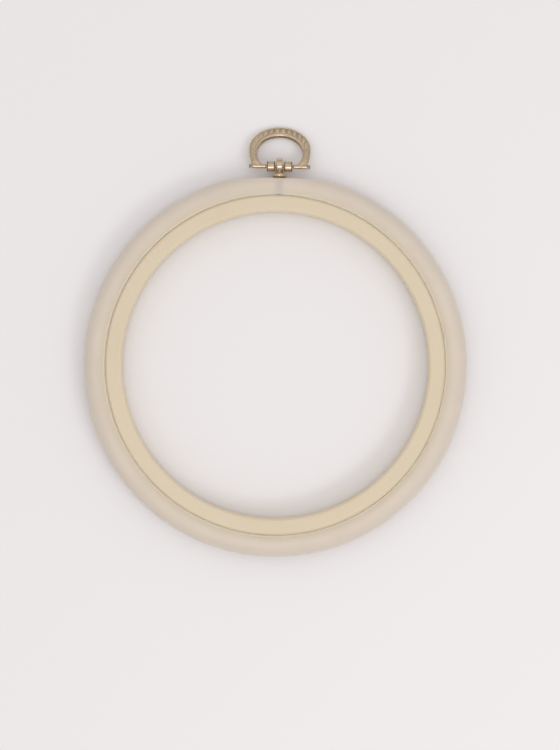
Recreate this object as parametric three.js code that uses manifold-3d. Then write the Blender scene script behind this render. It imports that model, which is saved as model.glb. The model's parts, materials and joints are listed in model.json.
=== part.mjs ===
// Display embroidery hoop: a rigid ring pressed into a soft round outer hoop,
// with a brass hanging bail that swings on a pin and turns on a riveted stem.
// Millimetres, +Z up, lying flat with the hanger towards +Y.

import * as THREE from 'three';
import { mergeVertices } from 'three/addons/utils/BufferGeometryUtils.js';
import Module from 'manifold-3d';

const wasm = await Module();
wasm.setup();

// Inner ring
const ringDiameter = 127;
const ringFaceWidth = 5.85;
const ringFaceInset = 0.2;
const ringInnerRounding = 0.8;
const ringOuterRounding = 1;
const ringBaseBevel = 0.5;

// Outer hoop, a soft tube with a wall for the ring and a lip under it
const hoopHeight = 9;
const hoopWidth = 8.2;
const hoopCrownInset = 2.4;
const hoopShoulderDrop = 1;
const lipReach = 2;
const lipThickness = 1.2;
const lipRounding = 0.4;

// Stem, its peened head and washer inside the hoop, and the ferrule outside
const stemDiameter = 2;
const headDiameter = 3.2;
const headThickness = 0.7;
const washerDiameter = 4.4;
const washerThickness = 0.5;
const ferruleDiameter = 5.8;
const ferruleThickness = 1.75;
const ferruleEdge = 0.9;
const ferruleInset = 0.45;
const seatDepth = 1.8;

// Swivel eye and the collars on either side of it
const eyeDiameter = 5.4;
const eyeLead = 0.45;
const eyeWidth = 2.6;
const eyeCrown = 0.7;
const neckFlare = 0.45;
const collarDiameter = 3.9;
const collarLength = 3;
const collarRounding = 0.35;
const collarGap = 0.45;

// Hinge pin
const pinDiameter = 1;
const pinHeadDiameter = 1.9;
const pinHeadThickness = 0.5;
const pinStandOut = 0.75;
const footGap = 0.45;

// Bail and the loop inside it, measured from the pin's axis; the bulges stand out from the feet
const bailLength = 15.9;
const bailBulge = 1.25;
const bailWaistHeight = 7.1;
const loopLength = 11.8;
const loopBulge = 3.35;
const loopWaistHeight = 5.3;
const bandThickness = 1.6;
const bandEdge = 0.3;
const lipBeadWidth = 1;
const lipBeadHeight = 0.5;
const ridgeLean = 0.5;
const footWidth = 5.1;
const footDiameter = 1.6;
const notchPitch = 2.35;
const notchRadius = 0.42;
const notchDepth = 0.3;

// Clearances
const seatGap = 0.3;
const runningGap = 0.08;
const washerGap = 0.25;
const tableGap = 0.02;
const weldDistance = 0.0001;
const overrun = 1;

// Facets
const ringSteps = 96;
const turnSteps = 28;
const pinSteps = 20;
const arcSteps = 6;
const bailSteps = 44;
const notchSides = 8;

const vinyl = new THREE.MeshStandardMaterial({ color: 0xd7cbbc, roughness: 0.35, metalness: 0 });
const cream = new THREE.MeshStandardMaterial({ color: 0xdbccb2, roughness: 0.5, metalness: 0 });
const brass = new THREE.MeshStandardMaterial({ color: 0xb89c6e, roughness: 0.3, metalness: 1 });

// Places that follow from the sizes
const ringRadius = ringDiameter / 2;
const wallRadius = ringRadius + seatGap;
const crestRadius = wallRadius + hoopWidth;
const crownRadius = wallRadius + hoopCrownInset;
const lipRadius = wallRadius - lipReach;
const stemHeight = hoopHeight / 2;
const pinRadius = pinDiameter / 2;
const eyeRadius = eyeDiameter / 2;
const recessDepth = headThickness + washerThickness + 3 * washerGap;
const recessFloor = wallRadius + recessDepth;
const seatFloor = crestRadius - seatDepth;
const ferruleBase = seatFloor + washerGap;
const ferruleTop = ferruleBase + ferruleThickness;
const eyeReach = ferruleTop + washerGap + eyeRadius;
const pinReach = eyeReach - eyeLead;
const barrelHalf = eyeWidth / 2 + collarGap + collarLength;
const footInner = barrelHalf + footGap;
const footOuter = footInner + footWidth;
const footMiddle = footInner + footWidth / 2;

// Points of an elliptical arc between two angles, both ends included
function arc(x, y, radiusX, radiusY, from, to, steps = arcSteps) {
  const points = [];
  for (let i = 0; i <= steps; i += 1) {
    const angle = from + ((to - from) * i) / steps;
    points.push(new THREE.Vector2(x + radiusX * Math.cos(angle), y + radiusY * Math.sin(angle)));
  }
  return points;
}

function point(x, y) {
  return new THREE.Vector2(x, y);
}

// Closed solid of a geometry, its shared corners welded and its slivers dropped
function toSolid(geometry) {
  const bare = geometry.clone();
  bare.deleteAttribute('normal');
  bare.deleteAttribute('uv');
  const welded = mergeVertices(bare, weldDistance);
  const corners = welded.index.array;
  const kept = [];
  for (let i = 0; i < corners.length; i += 3) {
    const [a, b, c] = corners.slice(i, i + 3);
    if (a !== b && b !== c && c !== a) kept.push(a, b, c);
  }
  const vertProperties = new Float32Array(welded.attributes.position.array);
  return new wasm.Manifold(new wasm.Mesh({ numProp: 3, vertProperties, triVerts: new Uint32Array(kept) }));
}

function toGeometry(solid) {
  const mesh = solid.getMesh();
  const geometry = new THREE.BufferGeometry();
  geometry.setAttribute('position', new THREE.BufferAttribute(mesh.vertProperties, 3));
  geometry.setIndex(new THREE.BufferAttribute(mesh.triVerts, 1));
  geometry.computeVertexNormals();
  return geometry;
}

// Solid turned about Y from points (radius, height) that run counter-clockwise
function turned(outline, steps) {
  return new THREE.LatheGeometry([...outline, outline[0].clone()], steps);
}

function rod(radius, from, to, steps) {
  const outline = [point(0, from), point(radius, from), point(radius, to), point(0, to)];
  return turned(outline, steps);
}

function alongX(geometry) {
  return geometry.rotateZ(-Math.PI / 2);
}

function alongZ(geometry) {
  return geometry.rotateX(Math.PI / 2);
}

function piece(name, geometry, material) {
  const mesh = new THREE.Mesh(geometry, material);
  mesh.name = name;
  return mesh;
}

// Round outside but for a flat at the hanger, steep inner shoulder beside the ring, flat base and lip
function outerHoop() {
  const middle = hoopHeight / 2;
  const crownWidth = crestRadius - crownRadius;
  const shoulderHeight = hoopHeight - hoopShoulderDrop;
  const outline = [
    point(lipRadius + lipRounding, 0),
    ...arc(crownRadius, middle, crownWidth, middle, -Math.PI / 2, Math.PI / 2, 2 * arcSteps),
    ...arc(crownRadius, shoulderHeight, hoopCrownInset, hoopShoulderDrop, Math.PI / 2, Math.PI).slice(1),
    point(wallRadius, lipThickness),
    point(lipRadius + lipRounding, lipThickness),
    point(lipRadius, lipThickness - lipRounding),
    point(lipRadius, lipRounding),
  ];
  const ring = toSolid(alongZ(turned(outline, ringSteps)));
  const flatHeight = seatDepth + overrun;
  const flat = new THREE.BoxGeometry(crestRadius, flatHeight, hoopHeight + overrun);
  const cuts = [
    rod(washerDiameter / 2 + seatGap, wallRadius - overrun, recessFloor, turnSteps),
    rod(stemDiameter / 2 + runningGap, recessFloor - overrun, seatFloor + overrun, turnSteps),
    flat.translate(0, seatFloor + flatHeight / 2, 0),
  ];
  let hoop = ring;
  for (const cut of cuts) hoop = hoop.subtract(toSolid(cut.translate(0, 0, stemHeight)));
  return toGeometry(hoop);
}

// Flat face, rounded inner edge, and a step underneath that clears the hoop's lip
function innerRing() {
  const inner = ringRadius - ringFaceWidth;
  const base = seatGap;
  const top = hoopHeight - ringFaceInset;
  const step = lipThickness + seatGap;
  const stepRadius = lipRadius - seatGap;
  const bevel = ringBaseBevel;
  const outerRound = ringOuterRounding;
  const innerRound = ringInnerRounding;
  const outline = [
    point(inner + bevel, base),
    point(stepRadius - bevel, base),
    point(stepRadius, base + bevel),
    point(stepRadius, step),
    point(ringRadius, step),
    ...arc(ringRadius - outerRound, top - outerRound, outerRound, outerRound, 0, Math.PI / 2),
    ...arc(inner + innerRound, top - innerRound, innerRound, innerRound, Math.PI / 2, Math.PI),
    point(inner, base + bevel),
  ];
  return toGeometry(toSolid(alongZ(turned(outline, ringSteps))));
}

// Domed washer, widest at half its thickness, that hides the hole where the stem leaves the hoop
function stemFerrule() {
  const radius = ferruleDiameter / 2;
  const bore = stemDiameter / 2 + runningGap;
  const rise = ferruleThickness - ferruleEdge;
  const outline = [
    point(bore, ferruleBase),
    ...arc(radius - ferruleInset, ferruleBase + ferruleEdge, ferruleInset, ferruleEdge, -Math.PI / 2, 0),
    ...arc(bore, ferruleBase + ferruleEdge, radius - bore, rise, 0, Math.PI / 2).slice(1),
  ];
  return toGeometry(toSolid(turned(outline, turnSteps)));
}

function stemWasher() {
  const bore = stemDiameter / 2 + runningGap;
  const front = recessFloor - washerGap;
  const outline = [
    point(bore, front - washerThickness),
    point(washerDiameter / 2, front - washerThickness),
    point(washerDiameter / 2, front),
    point(bore, front),
  ];
  return toGeometry(toSolid(turned(outline, turnSteps)));
}

// Eye, flared neck, plain shank and peened head in one piece
function swivelStem() {
  const rim = eyeRadius - eyeCrown;
  const disc = [
    point(0, -eyeWidth / 2),
    ...arc(rim, 0, eyeCrown, eyeWidth / 2, -Math.PI / 2, Math.PI / 2),
    point(0, eyeWidth / 2),
  ];
  const headTop = recessFloor - washerThickness - 2 * washerGap;
  const headBase = headTop - headThickness;
  const shank = stemDiameter / 2;
  const stem = [
    ...arc(0, headTop, headDiameter / 2, headTop - headBase, -Math.PI / 2, 0),
    point(shank, headTop),
    point(shank, ferruleTop),
    point(shank + neckFlare, eyeReach - rim),
    point(shank + neckFlare, pinReach - pinRadius),
    point(0, pinReach - pinRadius),
  ];
  const eye = alongX(turned(disc, turnSteps)).translate(0, eyeReach, 0);
  const bore = alongX(rod(pinRadius + runningGap, -eyeWidth, eyeWidth, pinSteps)).translate(0, pinReach, 0);
  return toGeometry(toSolid(eye).add(toSolid(turned(stem, turnSteps))).subtract(toSolid(bore)));
}

// Pin with a formed head at each end, just outside the bail's feet
function hingePin() {
  const shaftEnd = footOuter + pinStandOut;
  const pinEnd = shaftEnd + pinHeadThickness;
  const head = pinHeadDiameter / 2;
  const outline = [
    ...arc(0, -shaftEnd, head, pinHeadThickness, -Math.PI / 2, 0, arcSteps / 2),
    point(pinRadius, -shaftEnd),
    point(pinRadius, shaftEnd),
    ...arc(0, shaftEnd, head, pinEnd - shaftEnd, 0, Math.PI / 2, arcSteps / 2),
  ];
  return toGeometry(toSolid(alongX(turned(outline, pinSteps))));
}

// Short sleeve on the pin that keeps the eye in the middle
function pinCollar() {
  const radius = collarDiameter / 2;
  const half = collarLength / 2;
  const round = collarRounding;
  const bore = pinRadius + runningGap;
  const outline = [
    point(bore, -half),
    ...arc(radius - round, round - half, round, round, -Math.PI / 2, 0, arcSteps / 2),
    ...arc(radius - round, half - round, round, round, 0, Math.PI / 2, arcSteps / 2),
    point(bore, half),
  ];
  return toGeometry(toSolid(alongX(turned(outline, pinSteps))));
}

// Oval edge of the bail: half an ellipse over its waist, drawn in below it by the bulge to the foot
class BailEdge extends THREE.Curve {
  constructor(length, waistHeight, footReach, bulge) {
    super();
    this.halfWidth = footReach + bulge;
    this.waistHeight = waistHeight;
    this.rise = length - waistHeight;
    this.fall = waistHeight / Math.sqrt(1 - (footReach / this.halfWidth) ** 2);
    this.below = Math.asin(waistHeight / this.fall);
  }

  getPoint(t, target = new THREE.Vector3()) {
    const angle = -this.below + t * (Math.PI + 2 * this.below);
    const height = Math.sin(angle) > 0 ? this.rise : this.fall;
    const y = this.waistHeight + height * Math.sin(angle);
    return target.set(this.halfWidth * Math.cos(angle), y, 0);
  }
}

const outerEdge = new BailEdge(bailLength, bailWaistHeight, footOuter, bailBulge);
const innerEdge = new BailEdge(loopLength, loopWaistHeight, footInner, loopBulge);
const ridgeHeight = bandThickness / 2;
const crestOut = lipBeadWidth + ridgeLean;

// Where the band lies at a share of its length: its inner side, its way outward and its width
function bandAt(share) {
  const inside = innerEdge.getPoint(share);
  const outward = outerEdge.getPoint(share).sub(inside);
  const width = outward.length();
  return { inside, outward: outward.normalize(), width };
}

// The band's section as (outward, up): flat back, wide ridge that leans outward, narrow bead inside
function bandSection(width) {
  const back = -bandThickness / 2;
  const beadHalf = lipBeadWidth / 2;
  return [
    point(bandEdge, back),
    point(width - bandEdge, back),
    point(width, back + bandEdge),
    ...arc(crestOut, 0, width - crestOut, ridgeHeight, 0, Math.PI / 2),
    ...arc(crestOut, 0, ridgeLean, ridgeHeight, Math.PI / 2, Math.PI, arcSteps / 2).slice(1),
    ...arc(beadHalf, 0, beadHalf, lipBeadHeight, 0, Math.PI, 4).slice(1),
    point(0, back + bandEdge),
  ];
}

// Solid through rings of points that all have the same count, closed at both ends
function loft(rings) {
  const count = rings[0].length;
  const places = rings.flat().flatMap((p) => [p.x, p.y, p.z]);
  const corners = [];
  for (let i = 0; i < rings.length - 1; i += 1) {
    for (let k = 0; k < count; k += 1) {
      const a = i * count + k;
      const b = i * count + ((k + 1) % count);
      corners.push(a, b + count, b, a, a + count, b + count);
    }
  }
  const cap = THREE.ShapeUtils.triangulateShape(bandSection(bandAt(0).width), []);
  const lastRing = (rings.length - 1) * count;
  for (const [a, b, c] of cap) corners.push(a, b, c, lastRing + c, lastRing + b, lastRing + a);
  const geometry = new THREE.BufferGeometry();
  geometry.setAttribute('position', new THREE.Float32BufferAttribute(places, 3));
  geometry.setIndex(corners);
  return geometry;
}

function bailBand() {
  const rings = [];
  for (let i = 0; i <= bailSteps; i += 1) {
    const { inside, outward, width } = bandAt(i / bailSteps);
    rings.push(bandSection(width).map((p) => {
      const place = inside.clone().addScaledVector(outward, p.x);
      return place.setZ(p.y);
    }));
  }
  return loft(rings);
}

// Grooves across the ridge's outer shoulder, evenly spaced along the bail's outer edge
function notches() {
  const slope = Math.PI / 4;
  const stand = (notchRadius - notchDepth) * Math.cos(slope);
  const count = Math.round(outerEdge.getLength() / notchPitch) - 2;
  const cuts = [];
  for (let i = 0; i <= count; i += 1) {
    const { inside, outward, width } = bandAt(outerEdge.getUtoTmapping((i + 1) / (count + 2)));
    const across = crestOut + (width - crestOut) * Math.cos(slope) + stand;
    const axis = outward.clone().multiplyScalar(-Math.sin(slope));
    axis.z = Math.cos(slope);
    const cut = new THREE.CylinderGeometry(notchRadius, notchRadius, width, notchSides);
    cut.applyQuaternion(new THREE.Quaternion().setFromUnitVectors(new THREE.Vector3(0, 1, 0), axis));
    const place = inside.clone().addScaledVector(outward, across);
    cut.translate(place.x, place.y, ridgeHeight * Math.sin(slope) + stand);
    cuts.push(toSolid(cut));
  }
  return cuts;
}

function hangerBail() {
  let bail = toSolid(bailBand());
  for (const cut of notches()) bail = bail.subtract(cut);
  for (const side of [-1, 1]) {
    const from = side * footMiddle - footWidth / 2;
    bail = bail.add(toSolid(alongX(rod(footDiameter / 2, from, from + footWidth, pinSteps))));
  }
  const bore = rod(pinRadius + runningGap, -footMiddle - footWidth, footMiddle + footWidth, pinSteps);
  return toGeometry(bail.subtract(toSolid(alongX(bore))));
}

// Angle at which a bail, hinged at this height, comes to rest on the table
function restingAngle(geometry, height) {
  const places = geometry.attributes.position;
  let least = Math.PI / 2;
  for (let i = 0; i < places.count; i += 1) {
    const radius = Math.hypot(places.getY(i), places.getZ(i));
    if (radius > height) {
      const slant = Math.atan2(places.getZ(i), places.getY(i));
      least = Math.min(least, slant + Math.asin((height - tableGap) / radius));
    }
  }
  return least;
}

function hanger() {
  const bail = hangerBail();
  const swing = new THREE.Group();
  swing.position.set(0, pinReach, 0);
  swing.rotation.x = -restingAngle(bail, stemHeight);
  swing.add(piece('hanger_bail', bail, brass), piece('hinge_pin', hingePin(), brass));
  for (const [name, side] of [['left_pin_collar', -1], ['right_pin_collar', 1]]) {
    const collar = piece(name, pinCollar(), brass);
    collar.position.x = side * (barrelHalf - collarLength / 2);
    swing.add(collar);
  }
  const group = new THREE.Group();
  group.position.z = stemHeight;
  group.add(
    piece('stem_ferrule', stemFerrule(), brass),
    piece('stem_washer', stemWasher(), brass),
    piece('swivel_stem', swivelStem(), brass),
    swing,
  );
  return group;
}

const group = new THREE.Group();
group.add(
  piece('outer_hoop', outerHoop(), vinyl),
  piece('inner_ring', innerRing(), cream),
  hanger(),
);

// The origin is on the table, under the middle of the whole object
group.updateMatrixWorld(true);
const extent = new THREE.Box3().setFromObject(group, true);
group.position.y = -(extent.min.y + extent.max.y) / 2;
group.updateMatrixWorld(true);

export default group;
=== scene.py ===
import json
import math

import bmesh
import bpy
import numpy as np
from mathutils import Matrix, Vector


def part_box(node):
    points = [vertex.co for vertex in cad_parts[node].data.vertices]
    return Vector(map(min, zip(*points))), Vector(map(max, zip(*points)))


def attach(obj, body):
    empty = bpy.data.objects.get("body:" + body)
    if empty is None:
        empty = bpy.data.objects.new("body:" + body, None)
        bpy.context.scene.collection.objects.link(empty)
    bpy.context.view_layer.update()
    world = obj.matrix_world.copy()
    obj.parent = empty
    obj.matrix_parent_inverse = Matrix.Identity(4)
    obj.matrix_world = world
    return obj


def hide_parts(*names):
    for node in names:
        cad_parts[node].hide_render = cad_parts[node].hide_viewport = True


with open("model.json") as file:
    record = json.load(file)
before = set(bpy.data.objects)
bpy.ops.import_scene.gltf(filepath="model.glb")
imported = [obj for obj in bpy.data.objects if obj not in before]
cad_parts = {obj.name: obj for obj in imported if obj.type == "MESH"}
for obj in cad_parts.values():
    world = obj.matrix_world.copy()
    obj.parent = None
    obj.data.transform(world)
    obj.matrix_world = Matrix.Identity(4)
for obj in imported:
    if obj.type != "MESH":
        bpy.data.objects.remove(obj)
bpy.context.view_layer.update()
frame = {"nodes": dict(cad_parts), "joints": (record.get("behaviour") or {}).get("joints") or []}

# Pieces are drawn in millimetres and brought to metres when they are placed
mm = 0.001
onAxis = 1e-6  # a point nearer to the axis than this lies on it
mergeDistance = 1e-5
sharpAngle = 40
evenRelief = 0.5  # where a surface is neither hollow nor proud
joints = {joint["name"]: joint for joint in frame["joints"]}
pinPoint = Vector(joints["bail_hinge"]["pos_m"]) / mm
hoopLow, hoopHigh = (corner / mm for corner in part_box("outer_hoop"))
ringLow, ringHigh = (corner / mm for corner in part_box("inner_ring"))
ferruleLow, ferruleHigh = (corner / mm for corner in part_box("stem_ferrule"))
stemLow, stemHigh = (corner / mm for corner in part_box("swivel_stem"))
wireEnd = (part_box("hinge_pin")[1] / mm).x
bailHalfWidth = (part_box("hanger_bail")[1] / mm).x
hoopCentre = Vector(((ringLow.x + ringHigh.x) / 2, (ringLow.y + ringHigh.y) / 2, 0))
crestRadius = (hoopHigh.x - hoopLow.x) / 2
ringRadius = (ringHigh.x - ringLow.x) / 2
pinHeight = pinPoint.z
print("frame read:", len(frame["nodes"]), "nodes, hoop", round(2 * crestRadius, 1), "mm across")


# Outlines: (distance from the axis, height) in millimetres

def arcPoints(middle, radii, start, stop, steps=12):
    points = []
    for i in range(steps + 1):
        angle = math.radians(start + (stop - start) * i / steps)
        points.append((middle[0] + radii[0] * math.cos(angle), middle[1] + radii[1] * math.sin(angle)))
    return points


# Corners are (distance, height, rounding); a rounding of 0 leaves the corner sharp
def roundedOutline(corners, steps=6):
    points = []
    count = len(corners)
    for i, (x, y, rounding) in enumerate(corners):
        corner = Vector((x, y))
        if rounding == 0:
            points.append((x, y))
            continue
        toLast = (Vector(corners[i - 1][:2]) - corner).normalized()
        toNext = (Vector(corners[(i + 1) % count][:2]) - corner).normalized()
        half = toLast.angle(toNext) / 2
        middle = corner + (toLast + toNext).normalized() * (rounding / math.sin(half))
        first = corner + toLast * (rounding / math.tan(half)) - middle
        last = corner + toNext * (rounding / math.tan(half)) - middle
        for k in range(steps + 1):
            turn = first.lerp(last, k / steps).normalized() * rounding
            points.append(tuple(middle + turn))
    return points


# Meshes

def turnedMesh(name, outline, steps, closed=True):
    # a closed outline makes a ring; an open one starts and ends on the axis
    verts = []
    rows = []
    for distance, height in outline:
        if distance < onAxis:
            rows.append([len(verts)] * steps)
            verts.append((0, 0, height))
            continue
        rows.append(list(range(len(verts), len(verts) + steps)))
        for k in range(steps):
            angle = 2 * math.pi * k / steps
            verts.append((distance * math.cos(angle), distance * math.sin(angle), height))
    faces = []
    for i in range(len(rows) if closed else len(rows) - 1):
        low, high = rows[i], rows[(i + 1) % len(rows)]
        for k in range(steps):
            corners = [low[k], low[(k + 1) % steps], high[(k + 1) % steps], high[k]]
            face = list(dict.fromkeys(corners))
            if len(face) > 2:
                faces.append(face)
    mesh = bpy.data.meshes.new(name)
    mesh.from_pydata(verts, [], faces)
    return tidied(mesh)


def tidied(mesh):
    shape = bmesh.new()
    shape.from_mesh(mesh)
    bmesh.ops.remove_doubles(shape, verts=shape.verts, dist=mergeDistance)
    bmesh.ops.recalc_face_normals(shape, faces=shape.faces)
    shape.to_mesh(mesh)
    shape.free()
    return mesh


def joinedMesh(name, meshes):
    shape = bmesh.new()
    for mesh in meshes:
        shape.from_mesh(mesh)
    joined = bpy.data.meshes.new(name)
    shape.to_mesh(joined)
    shape.free()
    return joined


def turnedTo(mesh, axis, place=(0, 0, 0)):
    # lays the mesh's Z axis along another axis and moves it to a place
    turn = Vector((0, 0, 1)).rotation_difference(Vector(axis)).to_matrix().to_4x4()
    mesh.transform(Matrix.Translation(place) @ turn)
    return mesh


def inScene(mesh):
    part = bpy.data.objects.new(mesh.name, mesh)
    bpy.context.scene.collection.objects.link(part)
    return part


def withModifiers(part):
    bpy.context.view_layer.update()
    shown = part.evaluated_get(bpy.context.evaluated_depsgraph_get())
    mesh = bpy.data.meshes.new_from_object(shown)
    bpy.data.objects.remove(part)
    return mesh


def cutMesh(mesh, cutters):
    part = inScene(mesh)
    tools = [inScene(cutter) for cutter in cutters]
    for tool in tools:
        cut = part.modifiers.new("cut", "BOOLEAN")
        cut.operation = "DIFFERENCE"
        cut.solver = "EXACT"
        cut.object = tool
    made = withModifiers(part)
    for tool in tools:
        bpy.data.objects.remove(tool)
    return made


def fusedMesh(mesh, voxel, smoothing):
    # joins overlapping bodies into one skin with soft inner corners
    part = inScene(mesh)
    remesh = part.modifiers.new("fuse", "REMESH")
    remesh.mode = "VOXEL"
    remesh.voxel_size = voxel
    soften = part.modifiers.new("soften", "SMOOTH")
    soften.factor = 0.5
    soften.iterations = smoothing
    return withModifiers(part)


# Marks how hollow or proud each point lies, for grime in the grooves and wear on the edges
def markRelief(mesh, passes, depth):
    count = len(mesh.vertices)
    places = np.zeros(count * 3)
    normals = np.zeros(count * 3)
    edges = np.zeros(len(mesh.edges) * 2, dtype=int)
    mesh.vertices.foreach_get("co", places)
    mesh.vertices.foreach_get("normal", normals)
    mesh.edges.foreach_get("vertices", edges)
    places, normals, edges = places.reshape(-1, 3), normals.reshape(-1, 3), edges.reshape(-1, 2)
    share = np.bincount(edges.ravel(), minlength=count).astype(float)[:, None]
    share[share == 0] = 1
    smooth = places.copy()
    for _ in range(passes):
        total = np.zeros_like(smooth)
        np.add.at(total, edges[:, 0], smooth[edges[:, 1]])
        np.add.at(total, edges[:, 1], smooth[edges[:, 0]])
        smooth = total / share
    relief = ((places - smooth) * normals).sum(axis=1) / depth
    layer = mesh.attributes.new("relief", "FLOAT", "POINT")
    layer.data.foreach_set("value", np.clip(evenRelief + relief / 2, 0, 1).astype(np.float32))


def setRelief(mesh, reliefAt):
    layer = mesh.attributes.new("relief", "FLOAT", "POINT")
    for vertex in mesh.vertices:
        layer.data[vertex.index].value = reliefAt(vertex.co)


def shadeTo(relief, share):
    # relief in the painted shade at share 0, with no shade from share 1
    return relief + (evenRelief - relief) * min(share, 1)


def placed(mesh, name, place, material, body, node):
    # brings a mesh in millimetres to its place in metres and hands it to the frame
    mesh.transform(Matrix.Scale(mm, 4) @ Matrix.Translation(place))
    mesh.materials.clear()
    mesh.materials.append(material)
    mesh.polygons.foreach_set("use_smooth", [True] * len(mesh.polygons))
    mesh.set_sharp_from_angle(angle=math.radians(sharpAngle))
    piece = bpy.data.objects.new(name, mesh)
    bpy.context.scene.collection.objects.link(piece)
    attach(piece, body)
    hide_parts(node)
    return piece


# Materials

def newMaterial(name):
    material = bpy.data.materials.new(name)
    material.use_nodes = True
    return material, material.node_tree.nodes["Principled BSDF"]


def addNode(material, kind, settings=None, inputs=None):
    node = material.node_tree.nodes.new(kind)
    for key, value in (settings or {}).items():
        setattr(node, key, value)
    for key, value in (inputs or {}).items():
        node.inputs[key].default_value = value
    return node


def join(material, output, target):
    material.node_tree.links.new(output, target)


def screenColour(red, green, blue):
    # a colour as it is read on a screen, 0 to 255, made linear for the shaders
    linear = []
    for value in (red, green, blue):
        share = value / 255
        linear.append(share / 12.92 if share <= 0.04045 else ((share + 0.055) / 1.055) ** 2.4)
    return (*linear, 1)


def noiseOver(material, scale, detail=3):
    # noise in the piece's own space, scale in grains per metre
    space = addNode(material, "ShaderNodeTexCoord")
    noise = addNode(material, "ShaderNodeTexNoise", inputs={"Scale": scale, "Detail": detail})
    join(material, space.outputs["Object"], noise.inputs["Vector"])
    return noise.outputs["Fac"]


def mixedColour(material, factor, first, second):
    # first and second are colours or the outputs of other nodes
    mix = addNode(material, "ShaderNodeMix", {"data_type": "RGBA"})
    join(material, factor, mix.inputs["Factor"])
    for socket, value in ((mix.inputs[6], first), (mix.inputs[7], second)):
        if isinstance(value, tuple):
            socket.default_value = value
        else:
            join(material, value, socket)
    return mix.outputs[2]


def ranged(material, value, low, high, fromLow=0.3, fromHigh=0.7):
    # maps a value that mostly lies between fromLow and fromHigh to low..high
    step = addNode(material, "ShaderNodeMapRange", inputs={"To Min": low, "To Max": high})
    step.inputs["From Min"].default_value = fromLow
    step.inputs["From Max"].default_value = fromHigh
    join(material, value, step.inputs["Value"])
    return step.outputs["Result"]


def timesEach(material, first, second):
    both = addNode(material, "ShaderNodeMath", {"operation": "MULTIPLY"})
    join(material, first, both.inputs[0])
    join(material, second, both.inputs[1])
    return both.outputs[0]


def fromHoopCentre(material):
    # a point's place from the hoop's centre, and how far out from its axis it lies
    space = addNode(material, "ShaderNodeTexCoord")
    fromCentre = addNode(material, "ShaderNodeVectorMath", {"operation": "SUBTRACT"}, {1: hoopCentre * mm})
    join(material, space.outputs["Object"], fromCentre.inputs[0])
    parts = addNode(material, "ShaderNodeSeparateXYZ")
    join(material, fromCentre.outputs[0], parts.inputs[0])
    flat = addNode(material, "ShaderNodeCombineXYZ")
    join(material, parts.outputs["X"], flat.inputs["X"])
    join(material, parts.outputs["Y"], flat.inputs["Y"])
    length = addNode(material, "ShaderNodeVectorMath", {"operation": "LENGTH"})
    join(material, flat.outputs[0], length.inputs[0])
    return parts, length.outputs["Value"]


def addBump(material, shader, height, distance):
    bump = addNode(material, "ShaderNodeBump", inputs={"Distance": distance, "Strength": 1})
    join(material, height, bump.inputs["Height"])
    join(material, bump.outputs["Normal"], shader.inputs["Normal"])


milkyVinylLook = {
    "tone": screenColour(223, 211, 197),
    "cloudTone": screenColour(219, 207, 193),
    "besideRingTone": screenColour(218, 202, 181),
    "besideRing": (66.5 * mm, 63.8 * mm),
    "gripTone": screenColour(245, 228, 205),
    "grip": (64.4 * mm, 63.7 * mm),
    "gripHeight": (5.5 * mm, 7 * mm),
    "rimTone": screenColour(208, 198, 187),
    "rim": (67.5 * mm, 71.5 * mm),
    "stemShowThroughShadeTone": screenColour(209, 197, 187),
    "overStem": (2.2 * mm, 0.4 * mm),
    "cloudScale": 70,
    "scatterRadius": (1.0, 0.8, 0.6),
    "scatterDepth": 4 * mm,
    "seeThrough": 0.05,
    "refraction": 1.45,
    "roughness": (0.28, 0.36),
    "roughnessScale": 180,
    "shine": 0.35,
    "rippleScale": 260,
    "rippleDepth": 0.01 * mm,
}


def milkyVinyl():
    look = milkyVinylLook
    material, shader = newMaterial("milky_vinyl")
    cloud = noiseOver(material, look["cloudScale"])
    tone = mixedColour(material, ranged(material, cloud, 0, 1), look["tone"], look["cloudTone"])
    parts, radius = fromHoopCentre(material)
    # painted light: beside the ring a warmer, darker tone stands for the cream ring seen through the vinyl,
    # and towards the rim a greyer, darker tone stands for the shaded table seen through it
    for name in ("besideRing", "rim"):
        near = ranged(material, radius, 0, 1, *look[name])
        tone = mixedColour(material, near, tone, look[name + "Tone"])
    # the lit edge that grips the ring, only near its top
    atRing = ranged(material, radius, 0, 1, *look["grip"])
    nearTop = ranged(material, parts.outputs["Z"], 0, 1, *look["gripHeight"])
    tone = mixedColour(material, timesEach(material, atRing, nearTop), tone, look["gripTone"])
    # the stem's shade seen through the vinyl is painted as a grey patch
    aside = addNode(material, "ShaderNodeMath", {"operation": "ABSOLUTE"})
    join(material, parts.outputs["X"], aside.inputs[0])
    ahead = addNode(material, "ShaderNodeMath", {"operation": "GREATER_THAN"}, {1: 0})
    join(material, parts.outputs["Y"], ahead.inputs[0])
    besideStem = ranged(material, aside.outputs[0], 0, 1, *look["overStem"])
    overStem = timesEach(material, besideStem, ahead.outputs[0])
    tone = mixedColour(material, overStem, tone, look["stemShowThroughShadeTone"])
    join(material, tone, shader.inputs["Base Color"])
    grain = noiseOver(material, look["roughnessScale"])
    join(material, ranged(material, grain, *look["roughness"]), shader.inputs["Roughness"])
    shader.inputs["Subsurface Weight"].default_value = 1
    shader.inputs["Subsurface Radius"].default_value = look["scatterRadius"]
    shader.inputs["Subsurface Scale"].default_value = look["scatterDepth"]
    shader.inputs["Transmission Weight"].default_value = look["seeThrough"]
    shader.inputs["IOR"].default_value = look["refraction"]
    shader.inputs["Specular IOR Level"].default_value = look["shine"]
    addBump(material, shader, noiseOver(material, look["rippleScale"]), look["rippleDepth"])
    return material


creamPlasticLook = {
    "tone": screenColour(221, 205, 179),
    "flowTone": screenColour(218, 202, 175),
    "shadeTone": screenColour(208, 192, 166),
    "shade": (62.55 * mm, 62.95 * mm),
    "edgeTone": screenColour(238, 222, 198),
    "edge": (63.15 * mm, 63.45 * mm),
    "flowScale": 45,
    "scatter": 0.25,
    "scatterRadius": (1.0, 0.8, 0.5),
    "scatterDepth": 0.8 * mm,
    "roughness": (0.32, 0.44),
    "roughnessScale": 220,
    "grainScale": 900,
    "grainDepth": 0.004 * mm,
}


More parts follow.
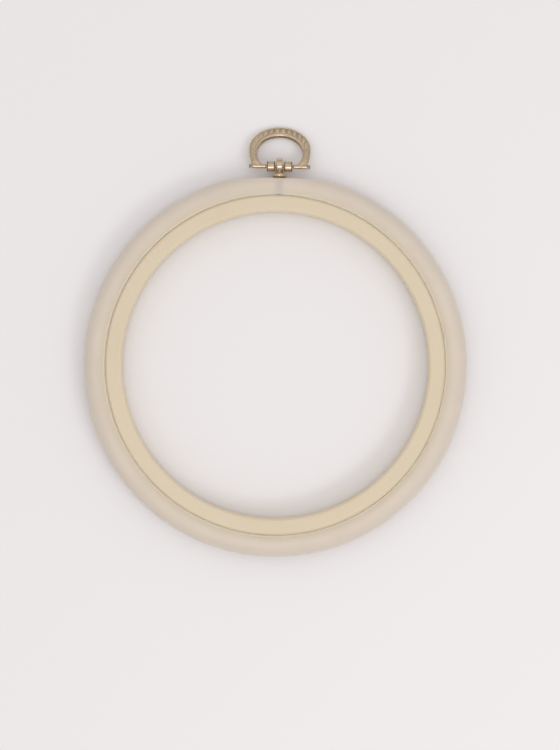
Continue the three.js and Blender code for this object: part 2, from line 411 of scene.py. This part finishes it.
def creamPlastic():
    look = creamPlasticLook
    material, shader = newMaterial("cream_plastic")
    flow = noiseOver(material, look["flowScale"], detail=5)
    tone = mixedColour(material, ranged(material, flow, 0, 1), look["tone"], look["flowTone"])
    radius = fromHoopCentre(material)[1]
    # painted shade on the outer rounding, then a painted highlight on its edge
    for name in ("shade", "edge"):
        tone = mixedColour(material, ranged(material, radius, 0, 1, *look[name]), tone, look[name + "Tone"])
    join(material, tone, shader.inputs["Base Color"])
    grain = noiseOver(material, look["roughnessScale"])
    join(material, ranged(material, grain, *look["roughness"]), shader.inputs["Roughness"])
    shader.inputs["Subsurface Weight"].default_value = look["scatter"]
    shader.inputs["Subsurface Radius"].default_value = look["scatterRadius"]
    shader.inputs["Subsurface Scale"].default_value = look["scatterDepth"]
    addBump(material, shader, noiseOver(material, look["grainScale"]), look["grainDepth"])
    return material


wornBrassLook = {
    "bright": screenColour(236, 213, 183),
    "dull": screenColour(220, 196, 167),
    "grimeAndShade": screenColour(112, 88, 62),
    "patchScale": 420,
    "roughness": (0.14, 0.24),
    "roughnessScale": 900,
    "pinShade": 0.55,
    "grimeAndShadeMask": (0.2, 0.48),
    "grimeAndShadeRoughness": 0.6,
    "scratchScale": 2600,
    "scratchDepth": 0.006 * mm,
}


def wornBrass(name, relief, shadeShare=0):
    look = wornBrassLook
    material, shader = newMaterial(name)
    shader.inputs["Metallic"].default_value = 1
    patches = noiseOver(material, look["patchScale"], detail=4)
    grimeAndShade = Vector(look["grimeAndShade"])
    # the whole material is darkened towards the grime colour by this share, as painted shade
    bright, dull = (tuple(Vector(look[key]).lerp(grimeAndShade, shadeShare)) for key in ("bright", "dull"))
    tone = mixedColour(material, ranged(material, patches, 0, 1), bright, dull)
    roughness = ranged(material, noiseOver(material, look["roughnessScale"]), *look["roughness"])
    if relief:
        # the grime colour fills the hollows and also the painted shade that is written into relief
        layer = addNode(material, "ShaderNodeAttribute", {"attribute_name": "relief"})
        grimeAndShadeMask = ranged(material, layer.outputs["Fac"], 1, 0, *look["grimeAndShadeMask"])
        tone = mixedColour(material, grimeAndShadeMask, tone, look["grimeAndShade"])
        worn = addNode(material, "ShaderNodeMix", {"data_type": "FLOAT"}, {3: look["grimeAndShadeRoughness"]})
        join(material, grimeAndShadeMask, worn.inputs["Factor"])
        join(material, roughness, worn.inputs[2])
        roughness = worn.outputs[0]
    join(material, tone, shader.inputs["Base Color"])
    join(material, roughness, shader.inputs["Roughness"])
    addBump(material, shader, noiseOver(material, look["scratchScale"]), look["scratchDepth"])
    return material


vinyl = milkyVinyl()
cream = creamPlastic()
brassPolished = wornBrass("brass_turned", relief=False)
# the pin is painted darker, standing for the shade in the gaps between the collars, the eye and the feet
brassShaded = wornBrass("brass_shaded", relief=False, shadeShare=wornBrassLook["pinShade"])
brassStruck = wornBrass("brass_struck", relief=True)
print("materials made")


# Soft outer hoop: round outside but for a flat at the hanger, steep shoulder beside the ring,
# flat base and a thin lip under the ring
softHoop = {
    "width": 8.2,
    "ringGap": 0.03,
    "crownInset": 2.4,
    "shoulderDrop": 1,
    "wallDrop": 1.6,
    "lipReach": 2,
    "lipThickness": 1.2,
    "lipRounding": 0.4,
    "steps": 360,
    "washerRecess": 2.5,
    "recessDepth": 1.95,
    "stemBore": 1.08,
    "cutOverrun": 1,
    "flatSoftness": 1.2,
}


def flattened(mesh, limit, softness):
    # presses the side towards the hanger flat, with a soft turn at both ends of the flat
    for vertex in mesh.vertices:
        near = max(softness - abs(vertex.co.y - limit), 0) / softness
        vertex.co.y = min(vertex.co.y, limit) - near * near * softness / 4
    return mesh


def makeSoftHoop():
    size = softHoop
    height = hoopHigh.z
    wall = crestRadius - size["width"]
    crown = wall + size["crownInset"]
    grip = ringRadius + size["ringGap"]
    lip = wall - size["lipReach"]
    shoulder = height - size["shoulderDrop"]
    outline = [(lip + size["lipRounding"], 0)]
    outline += arcPoints((crown, height / 2), (crestRadius - crown, height / 2), -90, 90, 40)
    outline += arcPoints((crown, shoulder), (crown - grip, size["shoulderDrop"]), 90, 180, 20)[1:]
    outline += [(grip, shoulder - size["wallDrop"]), (wall, shoulder - 2 * size["wallDrop"])]
    outline += roundedOutline([
        (wall, size["lipThickness"], 0),
        (lip, size["lipThickness"], size["lipRounding"]),
        (lip, 0, size["lipRounding"]),
    ])[:-1]
    ring = turnedMesh("soft_hoop", outline, size["steps"])
    flattened(ring, hoopHigh.y - hoopCentre.y, size["flatSoftness"])
    cuts = []
    for radius, start, stop in (
        (size["washerRecess"], wall - size["cutOverrun"], wall + size["recessDepth"]),
        (size["stemBore"], wall, crestRadius),
    ):
        bore = [(0, start), (radius, start), (radius, stop), (0, stop)]
        drill = turnedMesh("drill", bore, 48, closed=False)
        cuts.append(turnedTo(drill, (0, 1, 0), (0, 0, pinHeight)))
    return placed(cutMesh(ring, cuts), "soft_hoop", hoopCentre, vinyl, "hoop", "outer_hoop")


# Rigid ring: flat face, rounded inner edge and a step underneath that clears the hoop's lip
faceRing = {
    "faceWidth": 5.85,
    "innerRounding": 0.8,
    "outerRounding": 1,
    "baseRounding": 0.5,
    "stepWidth": 2,
    "stepHeight": 1.5,
    "steps": 360,
}


def makeFaceRing():
    size = faceRing
    inner = ringRadius - size["faceWidth"]
    base, top = ringLow.z, ringHigh.z
    step = ringRadius - size["stepWidth"]
    outline = roundedOutline([
        (inner, base, size["baseRounding"]),
        (step, base, size["baseRounding"]),
        (step, size["stepHeight"], 0),
        (ringRadius, size["stepHeight"], 0),
        (ringRadius, top, size["outerRounding"]),
        (inner, top, size["innerRounding"]),
    ], steps=10)
    ring = turnedMesh("face_ring", outline, size["steps"])
    return placed(ring, "face_ring", hoopCentre, cream, "ring", "inner_ring")


# Domed washer on the stem, outside the hoop
ferruleDome = {
    "bore": 1.08,
    "widest": 1,
    "inset": 0.7,
    "shadeWidth": 0.3,
    "shadeRelief": 0.2,
    "steps": 96,
}


def makeFerrule():
    size = ferruleDome
    radius = (ferruleHigh.z - ferruleLow.z) / 2
    thickness = ferruleHigh.y - ferruleLow.y
    widest, inset = size["widest"], size["inset"]
    outline = [(size["bore"], 0)] + arcPoints((radius - inset, widest), (inset, widest), -90, 0, 12)
    outline += arcPoints((size["bore"], widest), (radius - size["bore"], thickness - widest), 0, 90, 20)[1:]
    mesh = turnedTo(turnedMesh("ferrule_dome", outline, size["steps"]), (0, 1, 0))
    # painted shade where it meets the hoop
    setRelief(mesh, lambda point: shadeTo(size["shadeRelief"], point.y / size["shadeWidth"]))
    place = (0, ferruleLow.y, pinHeight)
    return placed(mesh, "ferrule_dome", place, brassStruck, "hoop", "stem_ferrule")


# Eye, neck, shank and peened head, forged in one piece
eyeStem = {
    "eyeLead": 0.45,
    "eyeWidth": 2.5,
    "eyeRounding": 0.5,
    "pinBore": 0.58,
    "shank": 1,
    "neckRadius": 1.45,
    "ferruleGap": 0.15,
    "headThickness": 0.7,
    "boreReach": 3,
    "voxel": 0.06,
    "smoothing": 16,
    "reliefPasses": 50,
    "reliefDepth": 0.7,
}


def makeEyeStem():
    size = eyeStem
    eyeRadius = stemHigh.y - pinPoint.y - size["eyeLead"]
    half = size["eyeWidth"] / 2
    disc = roundedOutline([
        (0, -half, 0),
        (eyeRadius, -half, size["eyeRounding"]),
        (eyeRadius, half, size["eyeRounding"]),
        (0, half, 0),
    ], steps=10)
    eye = turnedTo(turnedMesh("eye", disc, 96, closed=False), (1, 0, 0), (0, size["eyeLead"], 0))
    headTop = stemLow.y + size["headThickness"] - pinPoint.y
    headRadius = stemHigh.x
    neck = size["neckRadius"]
    shank = arcPoints((0, headTop), (headRadius, size["headThickness"]), -90, 0, 12)
    eyeBase = size["eyeLead"] - eyeRadius
    shank += [
        (size["shank"], headTop),
        (size["shank"], eyeBase - size["ferruleGap"]),
        (neck, eyeBase + size["ferruleGap"]),
        (neck, -size["pinBore"]),
        (0, -size["pinBore"]),
    ]
    stem = turnedTo(turnedMesh("shank", shank, 48, closed=False), (0, 1, 0))
    body = fusedMesh(joinedMesh("eye_stem", [eye, stem]), size["voxel"], size["smoothing"])
    reach = size["boreReach"]
    bore = [(0, -reach), (size["pinBore"], -reach), (size["pinBore"], reach), (0, reach)]
    drill = turnedTo(turnedMesh("drill", bore, 48, closed=False), (1, 0, 0))
    markRelief(body, size["reliefPasses"], size["reliefDepth"])
    mesh = cutMesh(body, [drill])
    return placed(mesh, "eye_stem", pinPoint, brassStruck, "swivel", "swivel_stem")


# Thin pin with a formed head at each end
pinWire = {"radius": 0.5, "headRadius": 0.95, "headThickness": 0.5, "steps": 40}


def makePinWire():
    size = pinWire
    shoulder = wireEnd - size["headThickness"]
    head = (size["headRadius"], size["headThickness"])
    outline = arcPoints((0, -shoulder), head, -90, 0, 10)
    outline += [(size["radius"], -shoulder), (size["radius"], shoulder)]
    outline += arcPoints((0, shoulder), head, 0, 90, 10)
    mesh = turnedTo(turnedMesh("pin_wire", outline, size["steps"], closed=False), (1, 0, 0))
    return placed(mesh, "pin_wire", pinPoint, brassShaded, "bail", "hinge_pin")


# Two short sleeves that keep the eye in the middle of the pin
collar = {"bore": 0.58, "rounding": 0.35, "shadeWidth": 0.6, "shadeRelief": 0.15, "steps": 56}


def makeCollar(name, node):
    size = collar
    low, high = (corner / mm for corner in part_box(node))
    half = (high.x - low.x) / 2
    radius = (high.z - low.z) / 2
    clean = half - size["shadeWidth"]
    outline = roundedOutline([
        (size["bore"], -half, 0),
        (radius, -half, size["rounding"]),
        (radius, -clean, 0),
        (radius, clean, 0),
        (radius, half, size["rounding"]),
        (size["bore"], half, 0),
    ], steps=8)
    mesh = turnedTo(turnedMesh(name, outline, size["steps"]), (1, 0, 0))
    # painted shade at both ends, in the gaps beside the collar
    setRelief(mesh, lambda point: shadeTo(
        size["shadeRelief"], (half - abs(point.x)) / size["shadeWidth"]))
    place = ((low.x + high.x) / 2, pinPoint.y, pinPoint.z)
    return placed(mesh, name, place, brassStruck, "bail", node)


# Bail: a band with a notched ridge outside, a rounded lip inside and feet curled round the pin
bailBand = {
    "length": 15.9,
    "waistHeight": 7.1,
    "loopLength": 11.8,
    "loopWidth": 17.1,
    "loopWaistHeight": 5.3,
    "thickness": 1.6,
    "edge": 0.3,
    "lipInset": 0.25,
    "lipRadius": 0.95,
    "lipRise": 0.65,
    "groove": 1.5,
    "ridgeLean": 0.35,
    "footMiddle": 7.75,
    "footWidth": 5.1,
    "footRadius": 0.8,
    "footRounding": 0.12,
    "footOverlap": 0.2,
    "pinBore": 0.58,
    "notchPitch": 2.35,
    "notchHalfWidth": 0.7,
    "notchDepth": 0.36,
    "notchAtBackShare": 0.4,
    "notchGrime": 0.17,
    "notchGrimeFoot": -0.6,
    "legDarkening": 0.07,
    "lipRelief": 0.44,
    "grooveRelief": 0.38,
    "grooveWidth": 0.3,
    "wallShadeRelief": 0.29,
    "wallReach": 0.5,
    "wallTop": 0.1,
    "notchRun": 1,
    "notchFade": (0, 0.8),
    "notchLeast": 0.12,
    "leftFadeFrom": -3.5,
    "leftFadeTo": -8,
    "leftFadeShare": 0.6,
    "steps": 640,
    "voxel": 0.075,
    "smoothing": 5,
    "reliefPasses": 32,
    "reliefDepth": 0.08,
    "bandReach": 6,
    "farPenalty": 9,
    "tableGap": 0.02,
}


def ovalEdge(length, halfWidth, waistHeight, footReach, share):
    # half an ellipse over the waist, drawn in towards the foot below
    fall = waistHeight / math.sqrt(1 - (footReach / halfWidth) ** 2)
    below = math.asin(waistHeight / fall)
    angle = -below + share * (math.pi + 2 * below)
    rise = np.where(np.sin(angle) > 0, length - waistHeight, fall)
    return np.stack([halfWidth * np.cos(angle), waistHeight + rise * np.sin(angle)], axis=1)


def bandSection(width):
    # (outward, up, share of the notch that is cut there) round the band
    size = bailBand
    back = -size["thickness"] / 2
    crest = size["groove"] + size["ridgeLean"]
    points = [(size["edge"], back, 0), (width - size["edge"], back, 0)]
    points += [(width, back + size["edge"], size["notchAtBackShare"])]
    for x, y in arcPoints((crest, 0), (width - crest, -back), 0, 90, 24):
        points.append((x, y, 1))
    for x, y in arcPoints((crest, 0), (size["ridgeLean"], -back), 90, 160, 6)[1:]:
        points.append((x, y, max(0, (crest - x) / -size["ridgeLean"] + 1)))
    lip = (size["lipInset"] + size["lipRadius"], size["lipRise"] - size["lipRadius"])
    for x, y in arcPoints(lip, (size["lipRadius"], size["lipRadius"]), 75, 180, 14):
        points.append((x, y, 0))
    points.append((0, back + size["edge"], 0))
    return points


def bailEdges():
    size = bailBand
    halfFoot = size["footWidth"] / 2
    share = np.linspace(0, 1, size["steps"] + 1)
    outside = (size["length"], bailHalfWidth, size["waistHeight"], size["footMiddle"] + halfFoot)
    inside = (
        size["loopLength"],
        size["loopWidth"] / 2,
        size["loopWaistHeight"],
        size["footMiddle"] - halfFoot,
    )
    return ovalEdge(*outside, share), ovalEdge(*inside, share)


def notchShares(outer):
    # how deep the notches are at each station along the band, 0 between them
    size = bailBand
    along = np.concatenate([[0], np.cumsum(np.hypot(*np.diff(outer, axis=0).T))])
    pitch = along[-1] / round(along[-1] / size["notchPitch"])
    offset = np.abs((along + pitch / 2) % pitch - pitch / 2)
    notch = np.cos(math.pi / 2 * np.minimum(offset / size["notchHalfWidth"], 1))
    upwards = (outer[:, 1] - size["waistHeight"]) / (size["length"] - size["waistHeight"])
    start, stop = size["notchFade"]
    fade = np.clip((upwards - start) / (stop - start), 0, 1)
    # towards the left the notches are cut shallower and darkened less, standing for how light falls there
    worn = np.clip((outer[:, 0] - size["leftFadeFrom"]) / (size["leftFadeTo"] - size["leftFadeFrom"]), 0, 1)
    return notch * (size["notchLeast"] + (1 - size["notchLeast"]) * fade) * (1 - size["leftFadeShare"] * worn)


def bailShell():
    size = bailBand
    outer, inner = bailEdges()
    notches = notchShares(outer)
    crest = size["groove"] + size["ridgeLean"]
    verts = []
    for i in range(size["steps"] + 1):
        outward = Vector((*(outer[i] - inner[i]), 0))
        width = outward.length
        outward.normalize()
        for out, up, part in bandSection(width):
            inward = Vector((crest - out, -up)).normalized() * size["notchDepth"] * notches[i] * part
            place = Vector((*inner[i], 0)) + outward * (out + inward.x)
            verts.append((place.x, place.y, up + min(inward.y, 0)))
    rim = len(bandSection(size["footWidth"]))
    faces = []
    for i in range(size["steps"]):
        for k in range(rim):
            a, b = i * rim + k, i * rim + (k + 1) % rim
            faces.append((a, b, b + rim, a + rim))
    faces.append(tuple(range(rim)))
    faces.append(tuple(range(len(verts) - rim, len(verts))))
    mesh = bpy.data.meshes.new("band")
    mesh.from_pydata(verts, [], faces)
    return tidied(mesh)


def markGrimeAndShade(mesh):
    # grime darkens the notches, painted shade darkens the wall inside the loop, the legs are made darker and
    # the lip is worn bright
    size = bailBand
    outer, inner = bailEdges()
    notches = notchShares(outer)
    outward = outer - inner
    outward /= np.linalg.norm(outward, axis=1)[:, None]
    groove = size["groove"]
    places = np.zeros(len(mesh.vertices) * 3)
    mesh.vertices.foreach_get("co", places)
    places = places.reshape(-1, 3)
    layer = mesh.attributes["relief"].data
    relief = np.zeros(len(layer), dtype=np.float32)
    layer.foreach_get("value", relief)
    for i, place in enumerate(places):
        # the station of the band that the point lies on, and how far out from the loop it is
        away = place[:2] - inner
        aside = np.abs(away[:, 0] * outward[:, 1] - away[:, 1] * outward[:, 0])
        tooFar = np.abs((away * outward).sum(axis=1)) > size["bandReach"]
        nearest = np.argmin(aside + size["farPenalty"] * tooFar)
        across = float(away[nearest] @ outward[nearest])
        if across > size["lipInset"] and place[2] > size["lipRise"] - size["lipRadius"]:
            onLip = across < groove - size["grooveWidth"]
            relief[i] = max(relief[i], size["lipRelief"] if onLip else size["grooveRelief"])
        # painted shade on the wall inside the loop
        if across < size["wallReach"] and place[2] < size["wallTop"]:
            relief[i] = min(relief[i], size["wallShadeRelief"])
        if across > groove and place[2] > size["notchGrimeFoot"]:
            outside = min((across - groove) / size["notchRun"], 1)
            relief[i] = min(relief[i], evenRelief - size["notchGrime"] * notches[nearest] * outside)
        # the legs are made darker above the feet
        if 2 * size["footRadius"] < place[1] < size["waistHeight"]:
            relief[i] = min(relief[i], evenRelief - size["legDarkening"])
    layer.foreach_set("value", relief)


def restingAngle(mesh):
    # how far the bail turns about the pin before its far end meets the table
    reach = pinPoint.z - bailBand["tableGap"]
    least = math.pi / 2
    for vertex in mesh.vertices:
        radius = math.hypot(vertex.co.y, vertex.co.z)
        if radius > pinPoint.z:
            least = min(least, math.atan2(vertex.co.z, vertex.co.y) + math.asin(reach / radius))
    return least


def makeBail():
    size = bailBand
    shells = [bailShell()]
    half = size["footWidth"] / 2
    within = size["pinBore"] - size["footOverlap"]
    curl = [
        (within, -half, 0),
        (size["footRadius"], -half, size["footRounding"]),
        (size["footRadius"], half, size["footRounding"]),
        (within, half, 0),
    ]
    for side in (-1, 1):
        foot = turnedMesh("foot", roundedOutline(curl), 48)
        shells.append(turnedTo(foot, (1, 0, 0), (side * size["footMiddle"], 0, 0)))
    body = fusedMesh(joinedMesh("bail_band", shells), size["voxel"], size["smoothing"])
    reach = size["footMiddle"] + size["footWidth"]
    bore = [(0, -reach), (size["pinBore"], -reach), (size["pinBore"], reach), (0, reach)]
    drill = turnedTo(turnedMesh("drill", bore, 48, closed=False), (1, 0, 0))
    markRelief(body, size["reliefPasses"], size["reliefDepth"])
    markGrimeAndShade(body)
    mesh = cutMesh(body, [drill])
    mesh.transform(Matrix.Rotation(-restingAngle(mesh), 4, "X"))
    return placed(mesh, "bail_band", pinPoint, brassStruck, "bail", "hanger_bail")


makeSoftHoop()
print("soft hoop made")
makeFaceRing()
print("ring made")
makeFerrule()
makeEyeStem()
makePinWire()
makeCollar("collar_left", "left_pin_collar")
makeCollar("collar_right", "right_pin_collar")
print("stem, pin and collars made")
makeBail()
print("bail made")

# The washer stays inside the hoop as it is
washer = frame["nodes"]["stem_washer"]
washer.data.materials.clear()
washer.data.materials.append(brassPolished)


# Table, light and camera
stageSettings = {
    "floorTone": screenColour(235, 231, 231),
    "floorSize": 6,
    "floorRoughness": 0.9,
    "floorShine": 0.1,
    "backgroundTone": screenColour(236, 233, 232),
    "roomStrengths": (0.75, 1.005),
    "mirroredStrengths": (0.34, 0.72),
    "window": {"azimuth": -43, "elevation": 41, "distance": 0.9, "width": 0.5, "height": 0.22, "power": 1.25},
    "glint": {"direction": (0, -0.56, 1), "distance": 1, "width": 0.25, "power": 0.46},
}


def makeFloor():
    material, shader = newMaterial("plain_table")
    shader.inputs["Base Color"].default_value = stageSettings["floorTone"]
    shader.inputs["Roughness"].default_value = stageSettings["floorRoughness"]
    shader.inputs["Specular IOR Level"].default_value = stageSettings["floorShine"]
    mesh = bpy.data.meshes.new("table")
    half = stageSettings["floorSize"] / 2
    corners = [(-half, -half, 0), (half, -half, 0), (half, half, 0), (-half, half, 0)]
    mesh.from_pydata(corners, [], [(0, 1, 2, 3)])
    mesh.materials.append(material)
    floor = inScene(mesh)


def makeRoom():
    world = bpy.data.worlds.new("room")
    bpy.context.scene.world = world
    world.use_nodes = True
    tree = world.node_tree
    room = tree.nodes["Background"]
    room.inputs["Color"].default_value = (1, 1, 1, 1)
    space = tree.nodes.new("ShaderNodeTexCoord")
    parts = tree.nodes.new("ShaderNodeSeparateXYZ")
    tree.links.new(space.outputs["Generated"], parts.inputs[0])
    path = tree.nodes.new("ShaderNodeLightPath")
    mirrored = tree.nodes.new("ShaderNodeMath")
    mirrored.operation = "SUBTRACT"
    mirrored.use_clamp = True
    tree.links.new(path.outputs["Is Glossy Ray"], mirrored.inputs[0])
    tree.links.new(path.outputs["Is Transmission Ray"], mirrored.inputs[1])
    # the room is brighter overhead, and it is darker where it shows in a shine
    strength = tree.nodes.new("ShaderNodeMix")
    tree.links.new(mirrored.outputs[0], strength.inputs["Factor"])
    for socket, name in ((2, "roomStrengths"), (3, "mirroredStrengths")):
        height = tree.nodes.new("ShaderNodeMapRange")
        height.inputs["To Min"].default_value, height.inputs["To Max"].default_value = stageSettings[name]
        tree.links.new(parts.outputs["Z"], height.inputs["Value"])
        tree.links.new(height.outputs[0], strength.inputs[socket])
    tree.links.new(strength.outputs[0], room.inputs["Strength"])
    backdrop = tree.nodes.new("ShaderNodeBackground")
    backdrop.inputs["Color"].default_value = stageSettings["backgroundTone"]
    choice = tree.nodes.new("ShaderNodeMixShader")
    tree.links.new(path.outputs["Is Camera Ray"], choice.inputs[0])
    tree.links.new(room.outputs[0], choice.inputs[1])
    tree.links.new(backdrop.outputs[0], choice.inputs[2])
    tree.links.new(choice.outputs[0], tree.nodes["World Output"].inputs["Surface"])


def makeLamp(name, shape, size, direction, distance, power):
    lamp = bpy.data.lights.new(name, "AREA")
    lamp.shape = shape
    lamp.size, lamp.size_y = size
    lamp.energy = power
    direction = Vector(direction).normalized()
    light = bpy.data.objects.new(name, lamp)
    bpy.context.scene.collection.objects.link(light)
    light.location = hoopCentre * mm + direction * distance
    light.rotation_mode = "QUATERNION"
    light.rotation_quaternion = direction.to_track_quat("Z", "Y")
    light.visible_camera = False
    return light


def makeWindow():
    plan = stageSettings["window"]
    azimuth, elevation = math.radians(plan["azimuth"]), math.radians(plan["elevation"])
    direction = (
        math.cos(elevation) * math.cos(azimuth),
        math.cos(elevation) * math.sin(azimuth),
        math.sin(elevation),
    )
    size = (plan["width"], plan["height"])
    window = makeLamp("window", "RECTANGLE", size, direction, plan["distance"], plan["power"])
    window.visible_glossy = False


def makeGlint():
    # a small lamp that only shows as a shine, as in the metal of the photo
    plan = stageSettings["glint"]
    size = (plan["width"], plan["width"])
    glint = makeLamp("glint", "DISK", size, plan["direction"], plan["distance"], plan["power"])
    glint.visible_diffuse = False
    glint.visible_transmission = False


# The photo was taken from straight above; pixels are in its 560 by 750 frame
photoCamera = {
    "width": 560,
    "height": 750,
    "focalPixels": 1394.8,
    "sensorWidth": 36,
    "above": 0.5288,
    "roll": 1.25,
    "hoopCentrePixel": (275.2, 365.1),
}


def makeCamera():
    plan = photoCamera
    data = bpy.data.cameras.new("camera")
    data.sensor_width = plan["sensorWidth"]
    data.lens = plan["focalPixels"] / plan["height"] * data.sensor_width
    camera = bpy.data.objects.new("camera", data)
    bpy.context.scene.collection.objects.link(camera)
    bpy.context.scene.camera = camera
    depth = plan["above"] - ringHigh.z * mm
    right = (plan["hoopCentrePixel"][0] - plan["width"] / 2) * depth / plan["focalPixels"]
    up = (plan["height"] / 2 - plan["hoopCentrePixel"][1]) * depth / plan["focalPixels"]
    turn = Matrix.Rotation(math.radians(plan["roll"]), 4, "Z")
    camera.location = hoopCentre * mm - turn @ Vector((right, up, 0)) + Vector((0, 0, plan["above"]))
    camera.rotation_euler = (0, 0, math.radians(plan["roll"]))


makeFloor()
makeRoom()
makeWindow()
makeGlint()
makeCamera()
bpy.context.scene.view_settings.view_transform = "Standard"
print("table, light and camera set")
